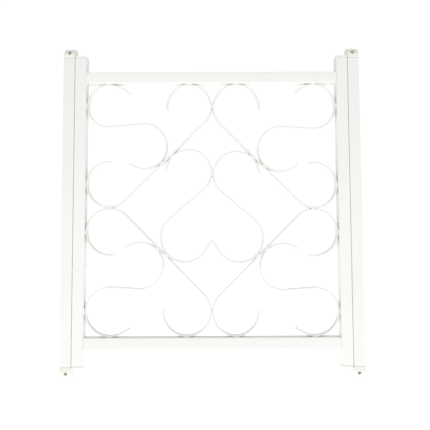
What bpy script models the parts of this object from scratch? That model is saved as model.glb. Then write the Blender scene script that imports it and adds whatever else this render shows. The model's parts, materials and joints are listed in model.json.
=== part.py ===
"""Adjustable window security bar guard.

A welded square-tube frame holds ten scrolls bent from flat bar.  Beside each
stile stands a side rail on two telescoping arms that run inside the top and
bottom rails, so the guard widens to suit the window.  Four mounting feet plug
into the side rails and take the wall screws.

Axes: +X to the right seen from the street, +Y towards the wall, +Z up.
Origin: middle of the guard's footprint, at the level of the lowest feet.
"""
import math
from collections import namedtuple

import bmesh
import bpy
import numpy as np

# ---------------------------------------------------------------- dimensions
MM = 0.001
GAP = 0.3 * MM              # assembly gap between pieces that touch

FRAME_W = 609.6 * MM        # outside to outside of the two stiles (24 in)
FRAME_H = 612.0 * MM        # top of the top rail to underside of the bottom rail
TUBE = 25.4 * MM            # square tube, 1 in
WALL = 1.2 * MM             # tube wall
TUBE_R = 2.2 * MM           # outside corner radius of the tube
STILE_L = 680.0 * MM        # stiles and side rails are cut to one length
STILE_RAISE = 1.5 * MM      # stiles sit this much higher than the side rails
FRAME_RAISE = 1.3 * MM      # opening is centred this much above the stiles' middle
SEAM = 0.6 * MM             # gap between a stile and its side rail, closed

PLUG_SIDE = TUBE - 2.0 * WALL - 2.0 * GAP   # plugs of caps and feet
PLUG_R = 0.8 * MM                           # chamfered corner of a plug

CAP_T = 4.6 * MM            # head of a stile end cap
CAP_PLUG = 14.0 * MM        # its plug inside the tube
CAP_EDGE = 0.6 * MM         # bevel on its edges

FOOT_H = 26.0 * MM          # mounting foot, beyond the end of the side rail
FOOT_SETBACK = 0.2 * MM     # foot's front, behind the front of the tubes
FOOT_STEP = 11.5 * MM       # top of the foot's upright front, where it starts to slope
FOOT_SLOPE = 14.0 * MM      # how far back the slope runs
FOOT_PLUG = 24.0 * MM       # foot's plug inside the side rail
FOOT_PLUG_BITE = 4.0 * MM   # how far the plug reaches into the foot's head
FOOT_PROUD = 3.0 * MM       # foot stands this far behind the tubes
FOOT_ROUND = 0.9 * MM       # rounding of its edges
FOOT_HOLE_D = 7.6 * MM      # wall screw hole
FOOT_HOLE_Z = 15.6 * MM     # hole centre, beyond the end of the side rail
DEPTH = TUBE + FOOT_PROUD   # whole depth

ARM = 22.2 * MM             # telescoping arm, square tube
ARM_WALL = 1.2 * MM
ARM_R = 1.6 * MM            # outside corner radius of the arm
ARM_L = 190.0 * MM
ARM_SLOT = 22.8 * MM        # square opening through each stile

SCREW_D = 5.0 * MM          # clamp screw
SCREW_HEAD_D = 9.6 * MM
SCREW_HEAD_T = 2.4 * MM
SCREW_RIM = 0.35            # upright rim, as a share of the head's thickness
SCREW_DOME = 0.98           # dome radius, as a share of the head's radius
SCREW_DOME_ANGLES = (25.0, 50.0, 75.0)      # profile points on the dome
SCREW_CHAMFER = 0.5 * MM    # at the tip
SCREW_FROM_STILE = 34.0 * MM

BAR_T = 4.0 * MM            # scroll flat bar, 4 mm thick
BAR_W = 12.7 * MM           # and 1/2 in deep, on edge
BAR_STEPS = 58              # straight steps along one scroll
ARC_STEPS = 240             # fine steps on each arc before the bar is stepped
RUN_STEPS = 200             # and on the straight run

# ------------------------------------------------------------ derived places
SIDES = {"left": -1.0, "right": 1.0}       # sign along X
ENDS = {"top": 1.0, "bottom": -1.0}        # sign along Z

Y_FRONT = -DEPTH / 2.0
Y_TUBE = Y_FRONT + TUBE / 2.0              # centre line of every tube
Y_TUBE_BACK = Y_TUBE + TUBE / 2.0
SIDE_RAIL_Z = FOOT_H + STILE_L / 2.0       # middle of the side rails
STILE_Z = SIDE_RAIL_Z + STILE_RAISE        # middle of the stiles
FRAME_Z = STILE_Z + FRAME_RAISE            # middle of the opening
RAIL_Z = {end: FRAME_Z + sz * (FRAME_H - TUBE) / 2.0 for end, sz in ENDS.items()}
STILE_X = FRAME_W / 2.0 - TUBE / 2.0
SIDE_X = FRAME_W / 2.0 + SEAM + TUBE / 2.0
OPEN_W = FRAME_W / 2.0 - TUBE              # half the opening
OPEN_H = FRAME_H / 2.0 - TUBE
SCREW_X = OPEN_W - SCREW_FROM_STILE
ARM_X = SIDE_X - TUBE / 2.0 - GAP - ARM_L / 2.0

# --------------------------------------------------------------------- scene
for old in list(bpy.data.objects):
    bpy.data.objects.remove(old, do_unlink=True)
for old in list(bpy.data.collections):
    bpy.data.collections.remove(old)

GUARD = bpy.data.collections.new("window_security_bar")
HELPERS = bpy.data.collections.new("cutters")
bpy.context.scene.collection.children.link(GUARD)
bpy.context.scene.collection.children.link(HELPERS)


# ----------------------------------------------------------------- materials
def material(name, colour, roughness, metallic=0.0):
    mat = bpy.data.materials.new(name)
    mat.use_nodes = True
    bsdf = mat.node_tree.nodes["Principled BSDF"]
    bsdf.inputs["Base Color"].default_value = (*colour, 1.0)
    bsdf.inputs["Roughness"].default_value = roughness
    bsdf.inputs["Metallic"].default_value = metallic
    mat.diffuse_color = (*colour, 1.0)
    return mat


FRAME_COAT = material("frame_coat", colour=(0.86, 0.86, 0.85), roughness=0.38)
SCROLL_COAT = material("scroll_coat", colour=(0.87, 0.87, 0.86), roughness=0.36)
SIDE_COAT = material("side_coat", colour=(0.855, 0.855, 0.84), roughness=0.38)
ARM_ZINC = material("arm_zinc", colour=(0.62, 0.63, 0.64), roughness=0.32, metallic=1.0)
CAP_PLASTIC = material("cap_plastic", colour=(0.85, 0.85, 0.83), roughness=0.5)
FOOT_PLASTIC = material("foot_plastic", colour=(0.84, 0.83, 0.79), roughness=0.48)
SCREW_STEEL = material("screw_steel", colour=(0.58, 0.58, 0.59), roughness=0.3, metallic=1.0)


# ------------------------------------------------------------------- helpers
def add_object(name, mesh, mat, location, rotation=(0.0, 0.0, 0.0)):
    obj = bpy.data.objects.new(name, mesh)
    GUARD.objects.link(obj)
    mesh.materials.append(mat)
    obj.location = location
    obj.rotation_euler = rotation
    return obj


def add_helper(name, mesh, location, rotation=(0.0, 0.0, 0.0)):
    """Unrendered solid that a boolean modifier uses."""
    obj = bpy.data.objects.new(name, mesh)
    HELPERS.objects.link(obj)
    obj.location = location
    obj.rotation_euler = rotation
    obj.hide_render = True
    obj.display_type = "WIRE"
    return obj


def add_boolean(obj, name, operation, tool):
    mod = obj.modifiers.new(name, "BOOLEAN")
    mod.operation = operation
    mod.solver = "EXACT"
    mod.object = tool


def cut(obj, tool):
    add_boolean(obj, "cut_" + tool.name, "DIFFERENCE", tool)


def hang(obj, parent):
    """Parent an object and leave it where it stands."""
    obj.parent = parent
    obj.matrix_parent_inverse = parent.matrix_world.inverted()


def mesh_from(bm, name):
    bmesh.ops.recalc_face_normals(bm, faces=bm.faces[:])
    mesh = bpy.data.meshes.new(name)
    bm.to_mesh(mesh)
    bm.free()
    return mesh


def loft(name, first, second, closed=True):
    """Walls between two matching rings of 3D points, with end faces if closed."""
    bm = bmesh.new()
    low = [bm.verts.new(point) for point in first]
    high = [bm.verts.new(point) for point in second]
    for i in range(len(low)):
        j = (i + 1) % len(low)
        bm.faces.new((low[i], low[j], high[j], high[i]))
    if closed:
        bm.faces.new(low[::-1])
        bm.faces.new(high)
    return mesh_from(bm, name)


def square_prism(name, side, radius, z0, z1, corner_steps=3, closed=True):
    """Rounded square in X and Y, drawn out from z0 to z1."""
    half = side / 2.0 - radius
    ring = []
    for quarter, (sx, sy) in enumerate(((1, 1), (-1, 1), (-1, -1), (1, -1))):
        for i in range(corner_steps + 1):
            angle = math.radians(90.0 * quarter + 90.0 * i / corner_steps)
            ring.append((sx * half + radius * math.cos(angle),
                         sy * half + radius * math.sin(angle)))
    return loft(name, [(x, y, z0) for x, y in ring], [(x, y, z1) for x, y in ring], closed)


def square_tube(name, side, wall, radius, length, mat, location, along="Z"):
    """Open surface of a rounded square tube, thickened inwards."""
    mesh = square_prism(name, side, radius, -length / 2.0, length / 2.0, closed=False)
    rotation = (0.0, math.pi / 2.0 if along == "X" else 0.0, 0.0)
    obj = add_object(name, mesh, mat, location, rotation)
    thicken = obj.modifiers.new("wall", "SOLIDIFY")
    thicken.thickness = wall
    thicken.offset = -1.0
    thicken.use_even_offset = True
    return obj


def hole_cutter(name, radius, depth, segments, location):
    """Cylinder along Y."""
    bm = bmesh.new()
    bmesh.ops.create_cone(bm, cap_ends=True, segments=segments,
                          radius1=radius, radius2=radius, depth=depth)
    return add_helper(name, mesh_from(bm, name), location, (math.pi / 2.0, 0.0, 0.0))


def end_rotation(sz):
    """Turns a piece drawn for a tube's top end to suit the end at sign sz."""
    return (0.0 if sz > 0 else math.pi, 0.0, 0.0)


def join_plug(obj, name, length, top, location, sz):
    """Join a plug that runs from length inside the tube to top beyond its end."""
    mesh = square_prism(name, PLUG_SIDE, PLUG_R, -length, top, corner_steps=1)
    plug = add_helper(name, mesh, location, end_rotation(sz))
    add_boolean(obj, "plug", "UNION", plug)
    return plug


# ------------------------------------------------------------ welded frame
def build_stile(side, sx):
    stile = square_tube(side + "_stile", TUBE, WALL, TUBE_R, STILE_L, FRAME_COAT,
                        (sx * STILE_X, Y_TUBE, STILE_Z))
    # the arm openings pierce the side walls; the front and back walls stay whole
    for end in ENDS:
        name = "slot_" + side + "_" + end
        bm = bmesh.new()
        bmesh.ops.create_cube(bm, size=1.0)
        bmesh.ops.scale(bm, vec=(TUBE + 4.0 * MM, ARM_SLOT, ARM_SLOT), verts=bm.verts[:])
        cut(stile, add_helper(name, mesh_from(bm, name), (sx * STILE_X, Y_TUBE, RAIL_Z[end])))


def build_rail(end):
    length = FRAME_W - 2.0 * TUBE - 2.0 * GAP
    rail = square_tube(end + "_rail", TUBE, WALL, TUBE_R, length, FRAME_COAT,
                       (0.0, Y_TUBE, RAIL_Z[end]), along="X")
    # clamp screw holes, through the back wall only
    for side, sx in SIDES.items():
        cut(rail, hole_cutter("tap_" + end + "_" + side, radius=SCREW_D / 2.0 + GAP,
                              depth=4.0 * MM, segments=24,
                              location=(sx * SCREW_X, Y_TUBE_BACK - WALL / 2.0, RAIL_Z[end])))


def build_clamp_screw(end, side, sx):
    """Pan head behind the rail, tip just clear of the arm."""
    tip = (TUBE - ARM) / 2.0 - GAP           # length in front of the rail's back face
    head = SCREW_HEAD_D / 2.0
    shank = SCREW_D / 2.0
    # (radius, height) from the middle of the head to the middle of the tip
    profile = [(0.0, SCREW_HEAD_T)]
    for degrees in SCREW_DOME_ANGLES:
        angle = math.radians(degrees)
        height = SCREW_RIM + (1.0 - SCREW_RIM) * math.cos(angle)
        profile.append((head * math.sin(angle) * SCREW_DOME, SCREW_HEAD_T * height))
    profile += [(head, SCREW_HEAD_T * SCREW_RIM), (head, GAP),
                (shank, GAP), (shank, -tip + SCREW_CHAMFER),
                (shank - SCREW_CHAMFER, -tip), (0.0, -tip)]

    name = "clamp_screw_" + end + "_" + side
    mesh = bpy.data.meshes.new(name)
    mesh.from_pydata([(radius, 0.0, z) for radius, z in profile],
                     [(i, i + 1) for i in range(len(profile) - 1)], [])
    screw = add_object(name, mesh, SCREW_STEEL, (sx * SCREW_X, Y_TUBE_BACK, RAIL_Z[end]),
                       (-math.pi / 2.0, 0.0, 0.0))
    turn = screw.modifiers.new("turn", "SCREW")
    turn.axis = "Z"
    turn.angle = math.radians(360.0)
    turn.steps = 24
    turn.render_steps = 24
    turn.use_merge_vertices = True
    turn.merge_threshold = 0.00001
    turn.use_smooth_shade = True


def build_stile_cap(end, sz, side, sx):
    name = "stile_cap_" + end + "_" + side
    location = (sx * STILE_X, Y_TUBE, STILE_Z + sz * STILE_L / 2.0)
    cap = add_object(name, square_prism(name, TUBE, TUBE_R, GAP, GAP + CAP_T),
                     CAP_PLASTIC, location, end_rotation(sz))
    edge = cap.modifiers.new("edge", "BEVEL")
    edge.width = CAP_EDGE
    edge.segments = 1
    edge.limit_method = "ANGLE"
    edge.angle_limit = math.radians(60.0)
    join_plug(cap, "plug_" + end + "_" + side, length=CAP_PLUG, top=GAP + CAP_T / 2.0,
              location=location, sz=sz)


for side, sx in SIDES.items():
    build_stile(side, sx)
for end, sz in ENDS.items():
    build_rail(end)
    for side, sx in SIDES.items():
        build_clamp_screw(end, side, sx)
        build_stile_cap(end, sz, side, sx)


# ------------------------------------------------- side rails, arms and feet
def build_slide(side, sx):
    """Empty that carries everything that slides out on one side."""
    slide = bpy.data.objects.new(side + "_slide", None)
    GUARD.objects.link(slide)
    slide.location = (sx * SIDE_X, Y_TUBE, FRAME_Z)
    bpy.context.view_layer.update()          # hang() reads its world matrix
    return slide


def build_side_rail(side, sx, slide):
    hang(square_tube(side + "_side_rail", TUBE, WALL, TUBE_R, STILE_L, SIDE_COAT,
                     (sx * SIDE_X, Y_TUBE, SIDE_RAIL_Z)), slide)


def build_arm(end, side, sx, slide):
    hang(square_tube(end + "_arm_" + side, ARM, ARM_WALL, ARM_R, ARM_L, ARM_ZINC,
                     (sx * ARM_X, Y_TUBE, RAIL_Z[end]), along="X"), slide)


def build_foot(end, sz, side, sx, slide):
    mark = end + "_" + side
    z_end = SIDE_RAIL_Z + sz * STILE_L / 2.0
    # side view of the head: upright front, slope, flat end, tall back.
    # (height beyond the rail's end, depth behind the front plane)
    outline = [(GAP, FOOT_SETBACK), (FOOT_STEP, FOOT_SETBACK), (FOOT_H, FOOT_SLOPE),
               (FOOT_H, DEPTH), (GAP, DEPTH)]
    half = TUBE / 2.0
    mesh = loft("mounting_foot_" + mark,
                [(-half, depth, sz * height) for height, depth in outline],
                [(half, depth, sz * height) for height, depth in outline])
    foot = add_object("mounting_foot_" + mark, mesh, FOOT_PLASTIC,
                      (sx * SIDE_X, Y_FRONT, z_end))
    rounding = foot.modifiers.new("round", "BEVEL")
    rounding.width = FOOT_ROUND
    rounding.segments = 2
    rounding.limit_method = "ANGLE"
    rounding.angle_limit = math.radians(30.0)

    plug = join_plug(foot, "foot_plug_" + mark, length=FOOT_PLUG, top=GAP + FOOT_PLUG_BITE,
                     location=(sx * SIDE_X, Y_TUBE, z_end), sz=sz)
    # wall screw hole, straight from the slope to the back
    cut(foot, hole_cutter("hole_" + mark, radius=FOOT_HOLE_D / 2.0, depth=DEPTH + 10.0 * MM,
                          segments=28, location=(sx * SIDE_X, 0.0, z_end + sz * FOOT_HOLE_Z)))
    hang(foot, slide)
    hang(plug, slide)


for side, sx in SIDES.items():
    slide = build_slide(side, sx)
    build_side_rail(side, sx, slide)
    for end, sz in ENDS.items():
        build_arm(end, side, sx, slide)
        build_foot(end, sz, side, sx, slide)


# --------------------------------------------------------- scroll centre lines
# One loop of a scroll, in the plane of the guard: centre, radius, sense of
# travel (+1 counter-clockwise seen from the street) and the angle, in
# degrees, of the bar's free end.
Loop = namedtuple("Loop", "x z radius sense free_angle")

# An easier bend that carries a free end on: radius, and sweep in degrees.
Bend = namedtuple("Bend", "radius sweep")


def straight_run(loop_a, loop_b):
    """Both ends of the straight run tangent to loop A and loop B."""
    dx, dz = loop_b.x - loop_a.x, loop_b.z - loop_a.z
    offset = loop_b.sense * loop_b.radius - loop_a.sense * loop_a.radius
    heading = math.atan2(dz, dx) - math.asin(offset / math.hypot(dx, dz))
    normal_x, normal_z = -math.sin(heading), math.cos(heading)
    return [(loop.x - loop.sense * loop.radius * normal_x,
             loop.z - loop.sense * loop.radius * normal_z) for loop in (loop_a, loop_b)]


def arc(x, z, radius, sense, first, sweep):
    """Points on an arc about x, z; first and sweep in radians."""
    angles = [first + sense * sweep * i / ARC_STEPS for i in range(ARC_STEPS + 1)]
    return [(x + radius * math.cos(angle), z + radius * math.sin(angle)) for angle in angles]


def bend_arc(loop, bend, leading):
    """Easier bend before (leading) or after a loop, tangent at its free end."""
    free, sweep = math.radians(loop.free_angle), math.radians(bend.sweep)
    # its centre lies on the radius line through the free end
    x = loop.x + (loop.radius - bend.radius) * math.cos(free)
    z = loop.z + (loop.radius - bend.radius) * math.sin(free)
    first = free - loop.sense * sweep if leading else free
    return arc(x, z, bend.radius, loop.sense, first, sweep)


def fine_path(loop_a, loop_b, lead, tail):
    """Lead bend, loop A, straight run, loop B, tail bend."""
    (xa, za), (xb, zb) = straight_run(loop_a, loop_b)
    start, stop = math.radians(loop_a.free_angle), math.radians(loop_b.free_angle)
    leave = math.atan2(za - loop_a.z, xa - loop_a.x)
    meet = math.atan2(zb - loop_b.z, xb - loop_b.x)
    sweep_a = ((leave - start) * loop_a.sense) % (2.0 * math.pi)
    sweep_b = ((stop - meet) * loop_b.sense) % (2.0 * math.pi)

    points = bend_arc(loop_a, lead, leading=True)[:-1] if lead else []
    points += arc(*loop_a[:4], start, sweep_a)
    points += [(xa + (xb - xa) * i / RUN_STEPS, za + (zb - za) * i / RUN_STEPS)
               for i in range(1, RUN_STEPS)]
    points += arc(*loop_b[:4], meet, sweep_b)
    if tail:
        points += bend_arc(loop_b, tail, leading=False)[1:]
    return points


def step_path(points):
    """Restep a path so that curved stretches get more points than straight ones."""
    bend_weight, length_weight = 0.05, 0.12  # cost per radian and per metre
    headings = [math.atan2(q[1] - p[1], q[0] - p[0]) for p, q in zip(points, points[1:])]
    turns = [abs((after - before + math.pi) % (2.0 * math.pi) - math.pi)
             for before, after in zip(headings, headings[1:])]
    turns.append(turns[-1])                  # the last point has no turn of its own
    cost = [0.0]
    for p, q, turn in zip(points, points[1:], turns):
        cost.append(cost[-1] + turn * bend_weight + math.dist(p, q) * length_weight)
    wanted = np.linspace(0.0, cost[-1], BAR_STEPS + 1)
    xs, zs = zip(*points)
    return list(zip(np.interp(wanted, cost, xs).tolist(), np.interp(wanted, cost, zs).tolist()))


def build_scroll(name, loop_a, loop_b, lead=None, tail=None):
    """Flat bar on edge: a ribbon along the centre line, thickened both ways."""
    path = step_path(fine_path(loop_a, loop_b, lead, tail))
    count = len(path)
    verts = [(x, y, z) for y in (-BAR_W / 2.0, BAR_W / 2.0) for x, z in path]
    faces = [(i, i + 1, count + i + 1, count + i) for i in range(count - 1)]
    mesh = bpy.data.meshes.new(name)
    mesh.from_pydata(verts, [], faces)
    mesh.shade_smooth()
    scroll = add_object(name, mesh, SCROLL_COAT, (0.0, Y_TUBE, FRAME_Z))
    thick = scroll.modifiers.new("thickness", "SOLIDIFY")
    thick.thickness = BAR_T
    thick.offset = 0.0
    thick.use_even_offset = True


# ------------------------------------------------------------ scroll places
TOUCH_FRAME = BAR_T / 2.0 + GAP            # bar centre line to the tube face
TOUCH_BAR = BAR_T / 2.0 + GAP / 2.0        # bar centre line to the contact line
MID_X = {"top": 1.5 * MM, "bottom": -1.0 * MM}   # where the middle loops meet
MID_Z = {"left": 2.0 * MM, "right": -1.0 * MM}   # where the side loops meet


def by_side(sx, radius):
    """x of a loop that touches a stile."""
    return sx * (OPEN_W - TOUCH_FRAME - radius)


def by_rail(sz, radius):
    """z of a loop that touches the top or bottom rail."""
    return sz * (OPEN_H - TOUCH_FRAME - radius)


def by_twin(middle, sign, radius):
    """Centre of a loop that touches its twin at middle, on the side given by sign."""
    return middle + sign * (TOUCH_BAR + radius)


def off_run(run, x, radius, sign, room=0.0):
    """z at x of a loop whose bar clears a straight run, above (+1) or below (-1)."""
    (x0, z0), (x1, z1) = run
    dx, dz = x1 - x0, z1 - z0
    on_line = z0 + (x - x0) * dz / dx
    distance = radius + BAR_T + GAP + room
    return on_line + sign * distance * math.hypot(dx, dz) / abs(dx)


# four long diagonals: one loop at the middle of a rail, one at mid height of
# a stile.  Middle radius and side radius in mm, then their free angles
DIAGONALS = {
    ("top", "left"): (49.5, 50.3, 190.0, 88.0),
    ("top", "right"): (51.5, 49.9, -8.0, 104.0),
    ("bottom", "left"): (52.3, 51.0, 178.0, -76.5),
    ("bottom", "right"): (50.3, 51.0, 2.0, -104.5),
}
RUNS = {}                                  # straight run of each diagonal
for (end, side), (r_middle, r_side, first, last) in DIAGONALS.items():
    sx, sz = SIDES[side], ENDS[end]
    r_middle, r_side = r_middle * MM, r_side * MM
    middle = Loop(by_twin(MID_X[end], sx, r_middle), by_rail(sz, r_middle),
                  r_middle, sx * sz, first)
    outer = Loop(by_side(sx, r_side), by_twin(MID_Z[side], sz, r_side),
                 r_side, sx * sz, last)
    RUNS[end, side] = straight_run(middle, outer)
    build_scroll("diagonal_scroll_" + end + "_" + side, middle, outer)

# four corner scrolls, an S each: first loop in the corner of the opening,
# second loop beside the long diagonal.  First radius, its free angle, lead
# bend, second radius, its distance from x = 0, extra room off the diagonal,
# its free angle; lengths in mm
CORNERS = {
    ("top", "left"): (47.4, 80.0, (82.0, 33.0), 50.4, 150.2, 2.0, -130.5),
    ("top", "right"): (50.0, 144.0, None, 50.6, 154.2, 0.4, -42.0),
    ("bottom", "left"): (52.9, -65.0, (200.0, 6.7), 50.8, 158.2, 0.0, 129.0),
    ("bottom", "right"): (51.8, -115.0, (200.0, 6.7), 50.8, 156.9, 0.0, 50.0),
}
for (end, side), (r_corner, first, lead, r_inner, x, room, last) in CORNERS.items():
    sx, sz = SIDES[side], ENDS[end]
    r_corner, r_inner, x = r_corner * MM, r_inner * MM, sx * x * MM
    corner = Loop(by_side(sx, r_corner), by_rail(sz, r_corner), r_corner, -sx * sz, first)
    inner = Loop(x, off_run(RUNS[end, side], x, r_inner, sz, room * MM),
                 r_inner, sx * sz, last)
    build_scroll("corner_scroll_" + end + "_" + side, corner, inner,
                 lead=Bend(lead[0] * MM, lead[1]) if lead else None)

# the heart: two S scrolls.  Upper loops rest under the top diagonals and meet
# at the middle; lower loops run into tails that rise to the middle.  Upper
# radius, its free angle, lower radius, lower centre x and z, its free angle,
# tail sweep; lengths in mm
HEART = {
    "left": (50.6, 160.0, 53.6, -59.8, -64.6, -36.0, 11.2),
    "right": (51.0, 20.0, 52.6, 60.9, -66.8, -143.0, 12.0),
}
HEART_LEAD = Bend(radius=75.0 * MM, sweep=12.0)
HEART_TAIL_R = 150.0 * MM
for side, (r_upper, first, r_lower, x, z, last, tail_sweep) in HEART.items():
    sx = SIDES[side]
    r_upper = r_upper * MM
    x_upper = by_twin(MID_X["top"], sx, r_upper)
    upper = Loop(x_upper, off_run(RUNS["top", side], x_upper, r_upper, -1.0),
                 r_upper, sx, first)
    lower = Loop(x * MM, z * MM, r_lower * MM, -sx, last)
    build_scroll("heart_scroll_" + side, upper, lower,
                 lead=HEART_LEAD, tail=Bend(HEART_TAIL_R, tail_sweep))
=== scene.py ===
"""Looks for the adjustable window security bar.

A welded frame of two stiles and two rails holds ten flat-bar scrolls.  Arms slide
out of the rails to a side rail at the left and the right, and are clamped by
screws from behind.  The width lies along X (left is -X), the front faces -Y and
the height is along Z.  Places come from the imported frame.
"""
import math
from collections import namedtuple
from functools import cached_property

import bmesh
import bpy
from mathutils import Matrix, Vector, noise
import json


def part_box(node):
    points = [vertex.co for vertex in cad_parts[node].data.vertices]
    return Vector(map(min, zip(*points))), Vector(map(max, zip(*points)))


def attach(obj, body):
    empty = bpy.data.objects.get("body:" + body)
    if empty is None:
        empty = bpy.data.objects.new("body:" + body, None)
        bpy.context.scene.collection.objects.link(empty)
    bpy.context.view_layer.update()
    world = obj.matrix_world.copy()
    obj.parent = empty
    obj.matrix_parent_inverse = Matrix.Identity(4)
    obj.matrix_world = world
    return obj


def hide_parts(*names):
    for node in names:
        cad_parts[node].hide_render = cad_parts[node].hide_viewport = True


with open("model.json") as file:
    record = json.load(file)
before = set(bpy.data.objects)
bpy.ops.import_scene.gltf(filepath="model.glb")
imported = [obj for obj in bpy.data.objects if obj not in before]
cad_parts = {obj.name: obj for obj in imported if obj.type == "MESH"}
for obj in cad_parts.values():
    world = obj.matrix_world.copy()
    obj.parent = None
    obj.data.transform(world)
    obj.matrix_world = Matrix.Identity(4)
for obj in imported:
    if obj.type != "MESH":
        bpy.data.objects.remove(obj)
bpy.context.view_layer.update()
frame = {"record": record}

MM = 0.001
WALL = 1.2 * MM               # tube wall
TUBE_R = 2.2 * MM             # outer corner radius of stiles and rails
ARM_R = 1.8 * MM              # outer corner radius of the arms
GAP = 0.3 * MM                # clearance between CAD parts
BAR_T, BAR_W = 4.0 * MM, 12.7 * MM    # scroll bar: thickness, and width along Y
ARM_SLOT = 22.8 * MM          # side of the square slot in a stile

RECORD = frame["record"]
NODE_BODY = {n: b for b, ns in RECORD["behaviour"]["bodies"].items() for n in ns}
NODE_SLOT = {s["node"]: s["material_slot"] for s in RECORD["subparts"]}
COLOURS = {m["slot"]: tuple(m["base_color"]) for m in RECORD["materials"]}

SIDES = (("left", -1.0), ("right", 1.0))
ENDS = (("top", 1.0), ("bottom", -1.0))
QUARTERS = [(end, sz, side, sx) for end, sz in ENDS for side, sx in SIDES]

# places of the CAD
STILE_LO, STILE_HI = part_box("right_stile")
TOP_LO, TOP_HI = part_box("top_rail")
BOT_LO, BOT_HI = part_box("bottom_rail")
HALF_W = STILE_LO.x                           # half width of the opening
HALF_H = (TOP_LO.z - BOT_HI.z) / 2.0          # half height of the opening
FRAME_Z = (TOP_LO.z + BOT_HI.z) / 2.0
Y_TUBE = (STILE_LO.y + STILE_HI.y) / 2.0
TUBE = STILE_HI.x - STILE_LO.x
Y_TUBE_BACK = Y_TUBE + TUBE / 2.0
RAIL_Z = {"top": (TOP_LO.z + TOP_HI.z) / 2.0, "bottom": (BOT_LO.z + BOT_HI.z) / 2.0}
PLUG_SIDE = TUBE - 2.0 * WALL - 2.0 * GAP     # plugs of caps and feet
PLUG_R = 0.9 * MM


# ------------------------------------------------------------ node materials
class Graph:
    """A node tree with short calls for the nodes used here."""

    def __init__(self, tree):
        self.tree = tree

    def add(self, kind, **values):
        node = self.tree.nodes.new(kind)
        for key, value in values.items():
            setattr(node, key, value)
        return node

    def feed(self, socket, value):
        """Link a socket, or set a number or an RGB colour."""
        if isinstance(value, bpy.types.NodeSocket):
            self.tree.links.new(value, socket)
        elif isinstance(value, tuple):
            socket.default_value = (*value, 1.0)
        else:
            socket.default_value = value

    def span(self, value, source, target=(0.0, 1.0), curve="LINEAR"):
        """Map the source range onto the target range, clamped."""
        node = self.add("ShaderNodeMapRange", interpolation_type=curve)
        node.clamp = True
        for key, number in zip(("From Min", "From Max", "To Min", "To Max"), source + target):
            node.inputs[key].default_value = number
        self.feed(node.inputs["Value"], value)
        return node.outputs["Result"]

    def math(self, operation, a, b):
        node = self.add("ShaderNodeMath", operation=operation)
        self.feed(node.inputs[0], a)
        self.feed(node.inputs[1], b)
        return node.outputs[0]


class Material(Graph):
    """A material built around its Principled BSDF."""

    def __init__(self, name):
        self.mat = bpy.data.materials.new(name)
        self.mat.use_nodes = True
        super().__init__(self.mat.node_tree)
        self.bsdf = self.tree.nodes["Principled BSDF"]

    @cached_property
    def coord(self):
        return self.add("ShaderNodeTexCoord").outputs["Object"]

    def surface(self, key, value):
        self.feed(self.bsdf.inputs[key], value)

    def scaled(self, scale):
        node = self.add("ShaderNodeMapping")
        node.inputs["Scale"].default_value = scale
        self.feed(node.inputs["Vector"], self.coord)
        return node.outputs["Vector"]

    def noise(self, scale, detail=2.0, rough=0.5, vector=None):
        node = self.add("ShaderNodeTexNoise")
        node.inputs["Scale"].default_value = scale
        node.inputs["Detail"].default_value = detail
        node.inputs["Roughness"].default_value = rough
        self.feed(node.inputs["Vector"], vector or self.coord)
        return node.outputs["Fac"]

    def mix(self, fac, a, b):
        node = self.add("ShaderNodeMix", data_type="RGBA")
        for index, value in ((0, fac), (6, a), (7, b)):
            self.feed(node.inputs[index], value)
        return node.outputs[2]

    def bump(self, height, strength, distance):
        node = self.add("ShaderNodeBump")
        node.inputs["Strength"].default_value = strength
        node.inputs["Distance"].default_value = distance
        self.feed(node.inputs["Height"], height)
        self.surface("Normal", node.outputs["Normal"])

    def edges(self, radius):
        """1 on sharp convex and concave edges, 0 on flats."""
        bevel = self.add("ShaderNodeBevel", samples=4)
        bevel.inputs["Radius"].default_value = radius
        geometry = self.add("ShaderNodeNewGeometry")
        dot = self.add("ShaderNodeVectorMath", operation="DOT_PRODUCT")
        self.feed(dot.inputs[0], bevel.outputs["Normal"])
        self.feed(dot.inputs[1], geometry.outputs["Normal"])
        return self.span(dot.outputs["Value"], source=(0.99, 0.80))

    def crevice(self, distance):
        """1 deep in a crevice, 0 in the open."""
        occlusion = self.add("ShaderNodeAmbientOcclusion", samples=6)
        occlusion.inputs["Distance"].default_value = distance
        return self.span(occlusion.outputs["AO"], source=(0.25, 0.85), target=(1.0, 0.0))


def tint(colour, red, green, blue):
    return tuple(c * k for c, k in zip(colour, (red, green, blue)))


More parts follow.
